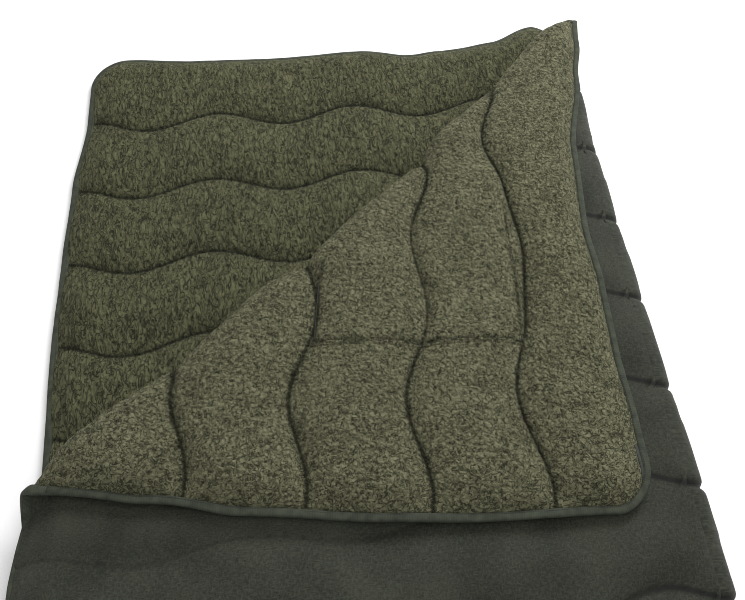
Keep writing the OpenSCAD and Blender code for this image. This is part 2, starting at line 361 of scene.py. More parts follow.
def lay(u, v, w, part):
    """Where a point of the opened blanket lies in the folded one. The lower half lies flat, the
    side is half a roll of radius SIDE_R - w, the upper half lies over it with its shell up,
    and past the turned line it rolls back at radius TURN_GAP + w and lies flat again. Hems
    drop by 8 mm on the lower half, by 14 mm on the upper one and by 6 mm on the corner."""
    fall = 1 - smooth(edge_gap(u, v) / 0.05)
    y = HEAD - v
    if part == "lower":
        x = LOWER_LEFT + u
        z = soft_floor(w - 0.008 * fall, 0.0)
        lift = smooth((x - 0.24) / 0.1) * smooth((SIDE_X - x) / 0.02)
        z = z + 0.008 * lift * smooth((y - 0.9) / 0.1)
        x, y = settle(x, y, part)
        return np.stack(np.broadcast_arrays(x, y, z), axis=-1)
    if part == "side":
        angle = math.pi * np.clip((u - U_LOWER) / SIDE_TAKE, 0, 1)
        x = SIDE_X + (SIDE_R - w) * np.sin(angle) - np.maximum(u - U_UPPER, 0)
        z = SIDE_Z - (SIDE_R - w) * np.cos(angle)
        z = soft_floor(z - (0.008 + 0.002 * angle / math.pi) * fall, 0.0)
        z = z - 0.0005 * smooth((u - U_UPPER) / 0.001)
        x, y = settle(x, y, part)
        share = (1 - np.cos(angle)) / 2
        return np.stack(np.broadcast_arrays(x, y, z + share * undulation(x, y)), axis=-1)
    x = SIDE_X + U_UPPER - u
    s, t = past_turn(x, y), beside_turn(x, y)
    half = SIDE_TAKE / 2
    angle = math.pi * np.clip((s + half) / SIDE_TAKE, 0, 1)
    radius = TURN_GAP + w
    s_new = np.where(s < -half, s, np.where(s > half, -s, radius * np.sin(angle) - half))
    turned = angle / math.pi
    z = TURN_Z - radius * np.cos(angle) - (0.014 - 0.008 * turned) * fall
    z = z + (soft_floor(z, TURN_Z - TURN_GAP) - z) * smooth(2 * turned - 1)
    x = TURN_X + t * TURN_COS - s_new * TURN_SIN
    y = TURN_Y + t * TURN_SIN + s_new * TURN_COS
    roll_top = SIDE_Z + np.sqrt(np.clip(SIDE_R ** 2 - np.clip(x - SIDE_X, 0, SIDE_R) ** 2, 0, 1))
    rise = smooth((x - SIDE_X + 0.03) / 0.03) * (s > -half)
    z = np.where(rise > 0, np.maximum(z, 0.03 + (roll_top + 0.001 - 0.03) * rise), z)
    x, y = settle(x, y, part)
    x, y = bow(x, y, smooth((s - half) / 0.2))
    y = y + 0.014 * smooth((-0.28 - x) / 0.13) * smooth(1.5 * turned)
    return np.stack(np.broadcast_arrays(x, y, z + undulation(x, y)), axis=-1)


def undulation(x, y):
    """Slow rise and fall of the upper layers, from -1 to 4 mm, and none along the turned fold."""
    slow = 0.0015 + 0.0025 * drift(x / 0.19, y / 0.17, 41)
    return slow * smooth(np.abs(past_turn(x, y)) / 0.12)


# ---- Grids over the parts of the opened blanket ----

def head_v(across, inset):
    """v of the head edge, drawn in by inset, at a distance across from a free side edge."""
    r = sizes().corner
    return r - np.sqrt(np.maximum((r - inset) ** 2 - np.maximum(r - across, 0) ** 2, 0))


def half_grid(part, inset, columns, rows):
    """u and v over one flat half, drawn in by inset. The lower half runs from head to foot,
    and the upper one from the start of the turned fold to the foot."""
    if part == "lower":
        u = np.linspace(inset, U_LOWER, columns)[:, None]
        top = head_v(u, inset)
        low = LENGTH - head_v(u, inset)
    else:
        u = np.linspace(U_UPPER, U_END - inset, columns)[:, None]
        top = HEAD - turn_line(SIDE_X + U_UPPER - u, -SIDE_TAKE / 2)
        low = LENGTH - head_v(U_END - u, inset)
    v = top + (low - top) * np.asarray(rows)[None, :]
    return np.broadcast_to(u, v.shape), v


def side_grid(roll, rows, inset):
    """u and v round the folded side, and on over the top where the turned fold leaves the
    head end of it uncovered: 1 mm further along its length, growing to 30 mm at the head."""
    v = np.linspace(inset, LENGTH - inset, rows)[None, :]
    over = 0.001 + 0.029 * (1 - smooth(v / 0.09))
    first = np.linspace(0, 1, roll)[:, None]
    top = np.linspace(0, 1, 9)[1:, None]
    u = np.concatenate([U_LOWER + SIDE_TAKE * first + 0 * v, U_UPPER + over * top])
    return u, np.broadcast_to(v, u.shape)


def corner_centre():
    """Middle of the corner's rounding: its distances along the turned line and past it."""
    r = sizes().corner
    dx, dy = UPPER_LEFT + r - TURN_X, -r
    return dx * TURN_COS + dy * TURN_SIN, -dx * TURN_SIN + dy * TURN_COS


def turned_grid(s, columns, inset):
    """u and v over rows that run beside the turned line, each at a distance s past it, from
    the free side edge to the head edge, drawn in by inset."""
    r = sizes().corner
    s = np.asarray(s)[:, None]
    flat = np.maximum(s, SIDE_TAKE / 2)
    left = (UPPER_LEFT + inset - TURN_X + s * TURN_SIN) / TURN_COS
    right = (-inset - flat * TURN_COS) / TURN_SIN
    centre_t, centre_s = corner_centre()
    reach = np.sqrt(np.maximum((r - inset) ** 2 - (s - centre_s) ** 2, 0))
    left = np.where(s > centre_s + (r - inset) * TURN_SIN, centre_t - reach, left)
    right = np.where(s > centre_s + (r - inset) * TURN_COS, centre_t + reach, right)
    t = left + (right - left) * np.linspace(0, 1, columns)[None, :]
    x = TURN_X + t * TURN_COS - s * TURN_SIN
    y = TURN_Y + t * TURN_SIN + s * TURN_COS
    return U_UPPER + SIDE_X - x, HEAD - y


def corner_reach(inset):
    """The greatest distance past the turned line that the corner has, less a hair."""
    return corner_centre()[1] + sizes().corner - inset - 0.0002


# ---- Meshes ----

def make_piece(name, points, faces, material, quilt=None, pile=None):
    """A mesh object from points and lists of equal-sided faces. quilt is u and v of each point,
    and pile how high it stands in the pile, less painted shade along seams and stitching."""
    mesh = bpy.data.meshes.new(name)
    mesh.vertices.add(len(points))
    mesh.vertices.foreach_set("co", np.ascontiguousarray(points, np.float32).ravel())
    corners = np.concatenate([f.ravel() for f in faces]).astype(np.int32)
    counts = np.concatenate([np.full(len(f), f.shape[1]) for f in faces]).astype(np.int32)
    starts = np.concatenate([[0], np.cumsum(counts)[:-1]]).astype(np.int32)
    mesh.loops.add(len(corners))
    mesh.loops.foreach_set("vertex_index", corners)
    mesh.polygons.add(len(counts))
    mesh.polygons.foreach_set("loop_start", starts)
    mesh.polygons.foreach_set("loop_total", counts)
    mesh.update(calc_edges=True)
    mesh.polygons.foreach_set("use_smooth", np.ones(len(counts), bool))
    if quilt is not None:
        layer = mesh.uv_layers.new(name="quilt")
        layer.data.foreach_set("uv", quilt[corners].astype(np.float32).ravel())
    if pile is not None:
        layer = mesh.attributes.new("pile", "FLOAT", "POINT")
        layer.data.foreach_set("value", pile.astype(np.float32))
    mesh.validate()
    mesh.materials.append(material)
    piece = bpy.data.objects.new(name, mesh)
    bpy.context.scene.collection.objects.link(piece)
    return piece


def sheet_faces(n, m, step):
    """Faces of a closed sheet: a fine grid of n by m points, a grid with every step-th of them
    on the other side, and a rim of faces between the two edges."""
    i, j = np.meshgrid(np.arange(n - 1), np.arange(m - 1), indexing="ij")
    i, j = i.ravel(), j.ravel()
    front = np.stack([i * m + j, (i + 1) * m + j, (i + 1) * m + j + 1, i * m + j + 1], 1)
    nc, mc = (n - 1) // step + 1, (m - 1) // step + 1
    i, j = np.meshgrid(np.arange(nc - 1), np.arange(mc - 1), indexing="ij")
    i, j = i.ravel(), j.ravel()
    back = np.stack([i * mc + j, i * mc + j + 1, (i + 1) * mc + j + 1, (i + 1) * mc + j], 1)
    back = back + n * m

    def ring(a, b):
        return np.concatenate([
            np.arange(a - 1) * b, (a - 1) * b + np.arange(b - 1),
            (np.arange(a - 1, 0, -1)) * b + b - 1, np.arange(b - 1, 0, -1),
        ])
    outer, inner = ring(n, m), ring(nc, mc) + n * m
    chunk = np.arange(len(inner))
    rim = [outer[(chunk * step + k) % len(outer)] for k in range(step, -1, -1)]
    rim = np.stack(rim + [inner, np.roll(inner, -1)], 1)
    return front, back, rim


def cloth_piece(name, grid, front, back, part, material, step=1, pile=None):
    """A closed sheet over a grid of u and v: front and back are w of its two faces. The back
    has every step-th point of the grid."""
    u, v = grid
    n, m = u.shape
    outer = lay(u, v, front, part)
    inner = lay(u[::step, ::step], v[::step, ::step], back[::step, ::step], part)
    faces = sheet_faces(n, m, step)
    normal = np.cross(outer[1:, :-1] - outer[:-1, :-1], outer[:-1, 1:] - outer[:-1, :-1])
    towards = outer[:-1:step, :-1:step] - inner[:-1, :-1]
    if np.sum(normal[::step, ::step][:towards.shape[0], :towards.shape[1]] * towards) < 0:
        faces = tuple(f[:, ::-1] for f in faces)
    points = np.concatenate([outer.reshape(-1, 3), inner.reshape(-1, 3)])
    flat = np.stack([lagged(u), crept(u, v)], -1)
    quilt = np.concatenate([flat.reshape(-1, 2), flat[::step, ::step].reshape(-1, 2)])
    height = None
    if pile is not None:
        height = np.concatenate([pile.ravel(), pile[::step, ::step].ravel()])
    return make_piece(name, points, faces, material, quilt, height)


def tube_faces(rings, sides):
    """Faces of a tube of rings of points, with a flat face at each end."""
    i, k = np.meshgrid(np.arange(rings - 1), np.arange(sides), indexing="ij")
    i, k = i.ravel(), k.ravel()
    up = (k + 1) % sides
    around = (i * sides + np.stack([k, sides + k, sides + up, up])).T
    first = np.arange(sides)[None, :]
    last = (rings - 1) * sides + np.arange(sides)[::-1][None, :]
    return [around, first, last]


def facing_out(points, faces):
    """The same faces, turned over if their enclosed volume comes out negative."""
    total = 0.0
    for face in faces:
        for k in range(1, face.shape[1] - 1):
            a, b, c = points[face[:, 0]], points[face[:, k]], points[face[:, k + 1]]
            total += np.sum(np.einsum("ij,ij->i", a, np.cross(b, c)))
    return faces if total > 0 else [f[:, ::-1] for f in faces]


# ---- Runs along the free edge ----

def edge_run(q):
    """Point and inward direction at distance q along the opened blanket's edge. It starts on
    the head edge where the folded side begins, and goes round by the lower half's free
    edge, the foot, and the upper half's free edge, back to the head. Straight runs add
    their length, and a corner adds r sin of its turn one way and r (1 - cos) the other."""
    r = sizes().corner
    quarter = math.pi * r / 2
    runs = [U_LOWER - r, LENGTH - 2 * r, U_END - 2 * r, LENGTH - 2 * r, U_END - r - U_LOWER]
    ways = [(-1, 0), (0, 1), (1, 0), (0, -1), (-1, 0)]
    q = np.asarray(q, float)
    u, v = np.full(q.shape, U_LOWER), np.zeros(q.shape)
    turn = np.zeros(q.shape)
    start = 0.0
    for number, (run, way) in enumerate(zip(runs, ways)):
        straight = np.clip(q - start, 0, run)
        u, v = u + way[0] * straight, v + way[1] * straight
        start += run
        if number == len(runs) - 1:
            break
        angle = np.clip(q - start, 0, quarter) / r
        after = ways[number + 1]
        u = u + r * np.sin(angle) * way[0] + r * (1 - np.cos(angle)) * after[0]
        v = v + r * np.sin(angle) * way[1] + r * (1 - np.cos(angle)) * after[1]
        turn = turn + angle
        start += quarter
    return u, v, np.sin(turn), np.cos(turn)


def edge_marks():
    """Distances along the edge run at which its stretches begin and end."""
    r = sizes().corner
    quarter = math.pi * r / 2
    lower_foot = (U_LOWER - r) + (LENGTH - 2 * r) + 2 * quarter + (U_LOWER - r)
    upper_foot = lower_foot + SIDE_TAKE
    corner = upper_foot + (U_END - U_UPPER - r) + quarter
    line = turn_line(UPPER_LEFT + sizes().binding / 2, -SIDE_TAKE / 2)
    fold = corner + (line - (HEAD - LENGTH) - r)
    head = corner + (LENGTH - 2 * r) + quarter
    tip = head + (U_END - U_LOWER - r) - SIDE_TAKE
    return lower_foot, upper_foot, fold, tip


def spaced(start, stop, gap):
    """Even places from start to stop, about a gap apart, and at least three."""
    return np.linspace(start, stop, max(int(round((stop - start) / gap)), 2) + 1)


def edge_lay(q, inset, w, part):
    """Where a point lies that is q along the edge run, inset from it, at w in the quilt."""
    u, v, nu, nv = edge_run(q)
    return lay(u + nu * inset, v + nv * inset, w, part)


def binding_piece(name, start, stop, part, material, gap=0.008):
    """A bound edge: a rounded band, |inset|^2.6 + |height|^2.6 = 1, carried along the edge."""
    s = sizes()
    sides = 20
    q = spaced(start, stop, gap)[:, None]
    angle = np.linspace(0, 2 * math.pi, sides, endpoint=False)[None, :]
    power = 2 / 2.6
    across = np.sign(np.cos(angle)) * np.abs(np.cos(angle)) ** power
    high = np.sign(np.sin(angle)) * np.abs(np.sin(angle)) ** power
    # The tape puckers a little between its stitches
    pucker = 1 + 0.035 * drift(q / 0.014, angle * 0 + 3, 53)
    inset = s.binding / 2 * (1 + across * pucker)
    wander = 0.0004 * drift(q / 0.03, angle * 0, 59)
    w = EDGE_MIDDLE + s.binding_height / 2 * high * pucker + wander
    points = edge_lay(np.broadcast_to(q, inset.shape), inset, w, part).reshape(-1, 3)
    faces = facing_out(points, tube_faces(q.shape[0], sides))
    run = np.broadcast_to(q, inset.shape)
    around = np.broadcast_to(angle / (2 * math.pi) * 0.03, inset.shape)
    quilt = np.stack([run, around], -1).reshape(-1, 2)
    return make_piece(name, points, faces, material, quilt)


def stitch_piece(name, centres, material, lay_point):
    """Many short stitches: each is a six-sided spindle with a ring at -0.6 and 0.6 of its half
    length. lay_point takes the distances along, across and out from each centre."""
    s = sizes()
    half = s.stitch * 0.42
    ring = np.linspace(0, 2 * math.pi, 6, endpoint=False)
    along_by = np.concatenate([[-half], np.full(6, -0.6 * half), np.full(6, 0.6 * half), [half]])
    across_by = np.concatenate([[0], np.cos(ring), np.cos(ring), [0]]) * 0.0006
    out_by = np.concatenate([[0], np.sin(ring), np.sin(ring), [0]]) * 0.0005
    k = np.arange(6)
    up = (k + 1) % 6
    tips = np.concatenate([
        np.stack([np.zeros(6, int), 1 + up, 1 + k], 1),
        np.stack([np.full(6, 13), 7 + k, 7 + up], 1),
    ])
    sides = np.stack([1 + k, 1 + up, 7 + up, 7 + k], 1)
    points = lay_point(centres[:, None], along_by[None, :], across_by[None, :], out_by[None, :])
    shift = (np.arange(len(centres)) * 14)[:, None, None]
    faces = [(f[None] + shift).reshape(-1, f.shape[1]) for f in (tips, sides)]
    points = points.reshape(-1, 3)
    return make_piece(name, points, facing_out(points, faces), material)


def binding_stitches(name, start, stop, part, material):
    """The row of stitches that holds a binding down, on the fleece side of the tape."""
    s = sizes()
    centres = spaced(start + s.stitch, stop - s.stitch, s.stitch)

    def place(q, run, across, out):
        top = EDGE_MIDDLE + s.binding_height * 0.43
        return edge_lay(q + run, 0.0082 + across, top + out, part)
    return stitch_piece(name, centres, material, place)


def seam_threads(name, part, rows, face, spans, material, sink):
    """Lines of quilting thread: a six-sided tube along each seam, sunk into the face."""
    sides = 6
    angle = np.linspace(0, 2 * math.pi, sides, endpoint=False)[None, :]
    points, faces, base = [], [], 0
    for row in rows:
        low, high = spans(row)
        if high - low < 0.02:
            continue
        u = spaced(low, high, 0.005)[:, None]
        v = seam_line(row, u)
        w = face(u, v) + sink
        ring = lay(u + 0 * angle, v + THREAD_ACROSS * np.cos(angle),
                   w + THREAD_HIGH * np.sin(angle), part)
        piece = ring.reshape(-1, 3)
        for f in facing_out(piece, tube_faces(len(u), sides)):
            faces.append(f + base)
        points.append(piece)
        base += len(piece)
    return make_piece(name, np.concatenate(points), faces, material)


# ---- Materials ----

def node(tree, kind, links=None, **settings):
    """Adds one shader node, with its settings and its inputs: values or other nodes' outputs."""
    made = tree.nodes.new(kind)
    for key, value in settings.items():
        setattr(made, key, value)
    for key, value in (links or {}).items():
        if isinstance(value, bpy.types.NodeSocket):
            tree.links.new(value, made.inputs[key])
        else:
            made.inputs[key].default_value = value
    return made


def new_material(name):
    """A material with a bare Principled surface: it, its tree, its surface and its Object
    coordinates. A material that is there already comes back without the other three."""
    existing = bpy.data.materials.get(name)
    if existing:
        return existing, None, None, None
    material = bpy.data.materials.new(name)
    material.use_nodes = True
    tree = material.node_tree
    tree.nodes.clear()
    surface = node(tree, "ShaderNodeBsdfPrincipled")
    node(tree, "ShaderNodeOutputMaterial", {"Surface": surface.outputs[0]})
    place = node(tree, "ShaderNodeTexCoord").outputs["Object"]
    return material, tree, surface, place


def seam_shade(tree, wide, deep):
    """Strength of the dark line on a seam, deep up to 0.3 of wide away from it and none at
    wide, and u. The line follows the same cosine waves as the quilt."""
    s = sizes()
    quilt = node(tree, "ShaderNodeUVMap", uv_map="quilt").outputs[0]
    axes = node(tree, "ShaderNodeSeparateXYZ", {0: quilt})
    turn = node(tree, "ShaderNodeMath", {
        0: axes.outputs[0], 1: 2 * math.pi / s.wave_length,
        2: -2 * math.pi * s.wave_start / s.wave_length}, operation="MULTIPLY_ADD")
    wave = node(tree, "ShaderNodeMath", {0: turn.outputs[0]}, operation="COSINE")
    level = node(tree, "ShaderNodeMath", {0: wave.outputs[0], 1: -s.wave_height,
                                          2: axes.outputs[1]}, operation="MULTIPLY_ADD")
    row = node(tree, "ShaderNodeMath", {0: level.outputs[0], 1: s.first_seam}, operation="SUBTRACT")
    # PINGPONG over half a pitch is the distance to the nearest seam
    fold = node(tree, "ShaderNodeMath", {0: row.outputs[0], 1: s.seam_pitch / 2},
                operation="PINGPONG")
    line = node(tree, "ShaderNodeMapRange", {"Value": fold.outputs[0], 1: 0.3 * wide, 2: wide,
                                             3: deep, 4: 0.0})
    start = node(tree, "ShaderNodeMath", {0: row.outputs[0], 1: -0.01}, operation="GREATER_THAN")
    line = node(tree, "ShaderNodeMath", {0: line.outputs[0], 1: start.outputs[0]},
                operation="MULTIPLY")
    return line.outputs[0], axes.outputs[0]


def fleece_material(name, streaked_and_shaded):
    """Sherpa fleece, a knitted polyester with a curled, brushed pile in small nubs. The nubs
    give soft crumbs of light about 5 mm across, dark between them, and no gloss at all: this
    is painted into the colour, a painted highlight on the nubs and painted shade between them.
    Where it has been lain on, the pile leans down the blanket and shows as fine streaks, and
    its colours are drawn darker, a painted shade."""
    material, tree, surface, place = new_material(name)
    if tree is None:
        return material
    c = colours()
    squash = (1.0, 0.42, 1.0) if streaked_and_shaded else (1.0, 1.0, 1.0)
    lean = node(tree, "ShaderNodeMapping", {"Vector": place, "Scale": squash}).outputs[0]
    # Curls bend the nubs' outlines: noise of 8 mm moves them by about 2 mm
    bend = node(tree, "ShaderNodeTexNoise", {"Vector": lean, "Scale": 125.0, "Detail": 2.0})
    offset = node(tree, "ShaderNodeVectorMath", {0: bend.outputs["Color"], 1: (0.5, 0.5, 0.5)},
                  operation="SUBTRACT")
    offset = node(tree, "ShaderNodeVectorMath", {0: offset.outputs[0], "Scale": 0.006},
                  operation="SCALE")
    bent = node(tree, "ShaderNodeVectorMath", {0: lean, 1: offset.outputs[0]}, operation="ADD")
    # Nubs 4.5 mm apart. The yarn winds in loops: the gaps between them are painted dark as
    # shade, along the middle value of a noise of 6.7 mm
    nub = node(tree, "ShaderNodeTexVoronoi", {"Vector": bent.outputs[0], "Scale": 220.0},
               feature="SMOOTH_F1")
    yarn = node(tree, "ShaderNodeTexNoise", {"Vector": bent.outputs[0], "Scale": 150.0,
                                             "Detail": 1.0, "Distortion": 1.0})
    middle = node(tree, "ShaderNodeMath", {0: yarn.outputs["Fac"], 1: 0.5}, operation="SUBTRACT")
    middle = node(tree, "ShaderNodeMath", {0: middle.outputs[0]}, operation="ABSOLUTE")
    # Curls of yarn 1.6 mm across, and slow mottling 45 mm across
    curl = node(tree, "ShaderNodeTexNoise",
                {"Vector": bent.outputs[0], "Scale": 620.0, "Detail": 3.0, "Roughness": 0.6})
    mottle = node(tree, "ShaderNodeTexNoise", {"Vector": place, "Scale": 22.0, "Detail": 3.0})
    # The pile attribute draws higher nubs lighter, a painted highlight, and seams and the pocket's
    # thread darker, painted shade
    pile = node(tree, "ShaderNodeAttribute", attribute_name="pile").outputs["Fac"]
    deep = node(tree, "ShaderNodeMapRange",
                {"Value": nub.outputs["Distance"], 1: 0.2, 2: 0.7, 3: 1.0, 4: 0.0})
    squiggle = node(tree, "ShaderNodeMapRange",
                    {"Value": middle.outputs[0], 1: 0.0, 2: 0.06},
                    interpolation_type="SMOOTHSTEP")
    lift = 0.0
    for output, share in ((deep.outputs[0], 0.3), (pile, 0.35), (squiggle.outputs[0], 0.42),
                          (curl.outputs["Fac"], 0.9), (mottle.outputs["Fac"], 0.35)):
        lift = node(tree, "ShaderNodeMath", {0: output, 1: share, 2: lift},
                    operation="MULTIPLY_ADD").outputs[0]
    lift = node(tree, "ShaderNodeMapRange", {"Value": lift, 1: 0.65, 2: 1.65})
    # Painted light and shade: the tone runs from the gap shade colour between nubs and yarn loops to
    # the lit tip colour on the nubs, with the yarn's curls and mottling
    tone = node(tree, "ShaderNodeValToRGB", {"Fac": lift.outputs[0]})
    ramp = tone.color_ramp
    ramp.elements[0].color = c.lying_gap_shade if streaked_and_shaded else c.fleece_gap_shade
    ramp.elements[1].color = c.lying_lit_tip if streaked_and_shaded else c.fleece_lit_tip
    ramp.elements.new(0.5).color = c.lying if streaked_and_shaded else c.fleece
    # Painted shade: within 0.9 mm of a seam the fleece is mixed 0.6 of the way to the thread's dark
    # colour, fading out by 3 mm. This stands for the thread and the shade in the seam's crease
    sewn = seam_shade(tree, 0.0030, 0.6)[0]
    pressed = node(tree, "ShaderNodeMix", {0: sewn, 6: tone.outputs["Color"], 7: tuple(c.thread)},
                   data_type="RGBA")
    height = node(tree, "ShaderNodeMath", {0: squiggle.outputs[0], 1: 0.9, 2: deep.outputs[0]},
                  operation="MULTIPLY_ADD")
    height = node(tree, "ShaderNodeMath", {0: curl.outputs["Fac"], 1: 0.6, 2: height.outputs[0]},
                  operation="MULTIPLY_ADD")
    bump = node(tree, "ShaderNodeBump",
                {"Height": height.outputs[0], "Strength": 1.0, "Distance": 0.0030})
    tree.links.new(pressed.outputs[2], surface.inputs["Base Color"])
    tree.links.new(bump.outputs["Normal"], surface.inputs["Normal"])
    surface.inputs["Roughness"].default_value = 0.95
    surface.inputs["Specular IOR Level"].default_value = 0.15
    surface.inputs["Sheen Weight"].default_value = 0.06
    surface.inputs["Sheen Roughness"].default_value = 0.6
    surface.inputs["Sheen Tint"].default_value = linear("#A7A68A")
    return material


def shell_material():
    """Polyester cloth in a plain weave, brushed and washed. Threads are 0.4 mm apart, too fine to
    show, so the weave is drawn at 1.9 mm. It is matt, mottled by slubs about 70 mm apart and
    crumpled every 18 mm, with a dark line where each row of quilting dips into it: the thread,
    and painted shade in the groove beside it."""
    material, tree, surface, place = new_material("Woven polyester shell, grey green")
    if tree is None:
        return material
    c = colours()
    quilt = node(tree, "ShaderNodeUVMap", uv_map="quilt").outputs[0]
    # Threads down the cloth and across it, each drawn long in its own direction
    threads = []
    for stretch in ((1, 0.35, 1), (0.35, 1, 1)):
        way = node(tree, "ShaderNodeMapping", {"Vector": quilt, "Scale": stretch})
        thread = node(tree, "ShaderNodeTexNoise",
                      {"Vector": way.outputs[0], "Scale": 520.0, "Detail": 2.0})
        threads.append(thread.outputs["Fac"])
    mottle = node(tree, "ShaderNodeTexNoise", {"Vector": place, "Scale": 14.0, "Detail": 4.0})
    weave = node(tree, "ShaderNodeMath", {0: threads[0], 1: threads[1]}, operation="MAXIMUM")
    tone = node(tree, "ShaderNodeMath", {0: mottle.outputs["Fac"], 1: 0.5, 2: weave.outputs[0]},
                operation="MULTIPLY_ADD")
    tone = node(tree, "ShaderNodeMapRange", {"Value": tone.outputs[0], 1: 0.66, 2: 0.98})
    cloth = node(tree, "ShaderNodeMix", {0: tone.outputs[0], 6: tuple(c.shell), 7: tuple(c.shell_slub)},
                 data_type="RGBA")
    line, across = seam_shade(tree, 0.0062, 1.0)
    # Painted shade: each seam's dark line is mixed to the thread's colour, for the thread and the
    # shade in its groove. Where the rows pull tightest, round the folded side and up to 50 mm past
    # it, the line is at full strength, falling to 0.3 of that from 200 mm past it
    side_seam_shade = node(tree, "ShaderNodeMapRange", {"Value": across, 1: U_UPPER + 0.05,
                                              2: U_UPPER + 0.2, 3: 1.0, 4: 0.3})
    line = node(tree, "ShaderNodeMath", {0: line, 1: side_seam_shade.outputs[0]},
                operation="MULTIPLY")
    sewn = node(tree, "ShaderNodeMix", {0: line.outputs[0], 6: cloth.outputs[2], 7: tuple(c.thread)},
                data_type="RGBA")
    crumple = node(tree, "ShaderNodeTexNoise", {"Vector": place, "Scale": 55.0, "Detail": 3.0})
    soft = node(tree, "ShaderNodeBump",
                {"Height": crumple.outputs["Fac"], "Strength": 0.35, "Distance": 0.004})
    bump = node(tree, "ShaderNodeBump", {"Height": weave.outputs[0], "Strength": 0.35,
                                         "Distance": 0.0006, "Normal": soft.outputs[0]})
    tree.links.new(sewn.outputs[2], surface.inputs["Base Color"])
    tree.links.new(bump.outputs["Normal"], surface.inputs["Normal"])
    surface.inputs["Roughness"].default_value = 0.82
    surface.inputs["Specular IOR Level"].default_value = 0.25
    surface.inputs["Sheen Weight"].default_value = 0.05
    surface.inputs["Sheen Roughness"].default_value = 0.5
    return material


def binding_material():
    """Knitted polyester tape, folded over the edge and sewn through. It is duller and a little
    lighter than the shell, with fine ribs across it, drawn 3 mm apart, and worn every 11 mm."""
    material, tree, surface, place = new_material("Knitted polyester binding, grey green")
    if tree is None:
        return material
    c = colours()
    run = node(tree, "ShaderNodeUVMap", uv_map="quilt").outputs[0]
    rib = node(tree, "ShaderNodeTexWave", {"Vector": run, "Scale": 105.0, "Distortion": 1.5,
                                           "Detail": 1.0}, bands_direction="X")
    worn = node(tree, "ShaderNodeTexNoise", {"Vector": place, "Scale": 90.0, "Detail": 3.0})
    tone = node(tree, "ShaderNodeMath", {0: rib.outputs["Fac"], 1: 0.12, 2: worn.outputs["Fac"]},
                operation="MULTIPLY_ADD")
    tone = node(tree, "ShaderNodeMapRange", {"Value": tone.outputs[0], 1: 0.3, 2: 0.85})
    cloth = node(tree, "ShaderNodeMix", {0: tone.outputs[0], 6: tuple(c.binding),
                                         7: linear("#474C3F")}, data_type="RGBA")
    bump = node(tree, "ShaderNodeBump",
                {"Height": tone.outputs[0], "Strength": 0.35, "Distance": 0.0005})
    tree.links.new(cloth.outputs[2], surface.inputs["Base Color"])
    tree.links.new(bump.outputs["Normal"], surface.inputs["Normal"])
    surface.inputs["Roughness"].default_value = 0.85
    surface.inputs["Specular IOR Level"].default_value = 0.25
    return material


def thread_material():
    """Spun polyester sewing thread. It is dark and slightly glossy, and its twist mottles it
    every 1.5 mm."""
    material, tree, surface, place = new_material("Spun polyester thread, dark")
    if tree is None:
        return material
    c = colours()
    twist = node(tree, "ShaderNodeTexNoise", {"Vector": place, "Scale": 650.0})
    tone = node(tree, "ShaderNodeMix", {0: twist.outputs["Fac"], 6: tuple(c.thread),
                                        7: linear("#23261F")}, data_type="RGBA")
    tree.links.new(tone.outputs[2], surface.inputs["Base Color"])
    surface.inputs["Roughness"].default_value = 0.6
    return material


def wadding_material():
    """Polyester wadding, a bonded web of crimped fibres. It is off white and matt, with lumps
    6 mm across."""
    material, tree, surface, place = new_material("Polyester wadding, off white")
    if tree is None:
        return material
    c = colours()
    web = node(tree, "ShaderNodeTexNoise", {"Vector": place, "Scale": 160.0, "Detail": 5.0})
    tone = node(tree, "ShaderNodeMix", {0: web.outputs["Fac"], 6: linear("#B9B8B0"),
                                        7: tuple(c.wadding)}, data_type="RGBA")
    bump = node(tree, "ShaderNodeBump",
                {"Height": web.outputs["Fac"], "Strength": 0.6, "Distance": 0.002})
    tree.links.new(tone.outputs[2], surface.inputs["Base Color"])
    tree.links.new(bump.outputs["Normal"], surface.inputs["Normal"])
    surface.inputs["Roughness"].default_value = 0.95
    return material


def tape_material():
    """Woven satin tape. It is nearly black with a low sheen, and its fine threads are drawn
    about 1.1 mm apart."""
    material, tree, surface, place = new_material("Woven satin tape, dark")
    if tree is None:
        return material
    c = colours()
    threads = node(tree, "ShaderNodeTexNoise", {"Vector": place, "Scale": 900.0, "Detail": 2.0})
    tone = node(tree, "ShaderNodeMix", {0: threads.outputs["Fac"], 6: tuple(c.tape),
                                        7: linear("#30342D")}, data_type="RGBA")
    bump = node(tree, "ShaderNodeBump",
                {"Height": threads.outputs["Fac"], "Strength": 0.3, "Distance": 0.0004})
    tree.links.new(tone.outputs[2], surface.inputs["Base Color"])
    tree.links.new(bump.outputs["Normal"], surface.inputs["Normal"])
    surface.inputs["Roughness"].default_value = 0.5
    return material


# ---- Pieces ----

def finish_piece(piece, slot, *nodes):
    """Hides the frame's nodes that a piece stands for. piece and slot are not used."""
    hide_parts(*nodes)


def turned_blend(piece):
    """Bakes the piece's transform into its mesh. The piece lies over the fold from the upper half to
    the turned corner.
    """
    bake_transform(piece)


def side_blend(piece):
    """Bakes the piece's transform into its mesh. The piece lies round the fold from the lower half to
    the upper one.
    """
    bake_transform(piece)


